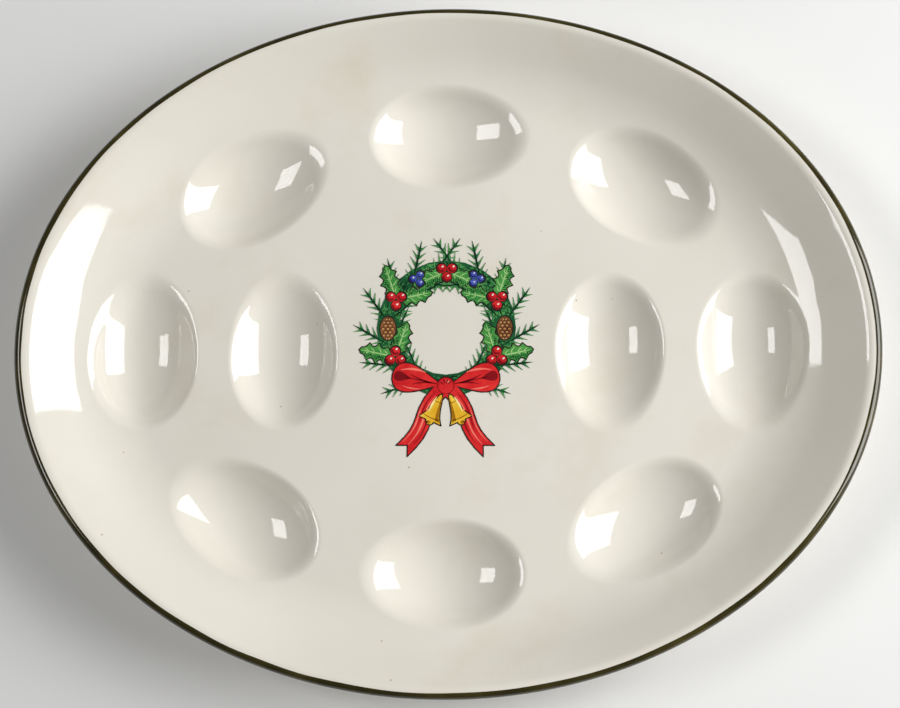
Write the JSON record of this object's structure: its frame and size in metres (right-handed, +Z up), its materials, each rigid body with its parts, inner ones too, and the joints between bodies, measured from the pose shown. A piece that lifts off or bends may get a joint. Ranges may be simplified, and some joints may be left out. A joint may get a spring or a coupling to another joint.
{
  "type": "egg platter",
  "caption": "Shallow oval glazed ceramic platter with egg-shaped wells in its floor, an upswept rim with a painted lip, a foot ring and a printed wreath in the middle, for serving halved eggs.",
  "frame": {"origin": "on the table, under the middle of the oval", "axes": "+X along the length, +Y along the width towards the top of the printed wreath, +Z up from the table"},
  "size_m": [0.343, 0.278, 0.0336],
  "materials": {
    "cream_glaze": "glossy cream glaze over a pale clay body",
    "green_lip": "glossy hand-banded olive green under the glaze",
    "key_ink": "dark key print, fired on",
    "fir_green": "dark green print, fired on",
    "holly_green": "leaf green print, fired on",
    "berry_red": "red print, fired on",
    "juniper_blue": "blue print, fired on",
    "cone_brown": "brown print, fired on",
    "ribbon_red": "bright red print, fired on",
    "bell_gold": "golden yellow print, fired on"
  },
  "bodies": {
    "root": {"platter_body": "cream_glaze", "rim_band": "green_lip", "decal_ink": "key_ink", "decal_fir": "fir_green", "decal_holly": "holly_green", "decal_berries": "berry_red", "decal_juniper": "juniper_blue", "decal_cones": "cone_brown", "decal_ribbon": "ribbon_red", "decal_bells": "bell_gold"}
  },
  "joints": []
}
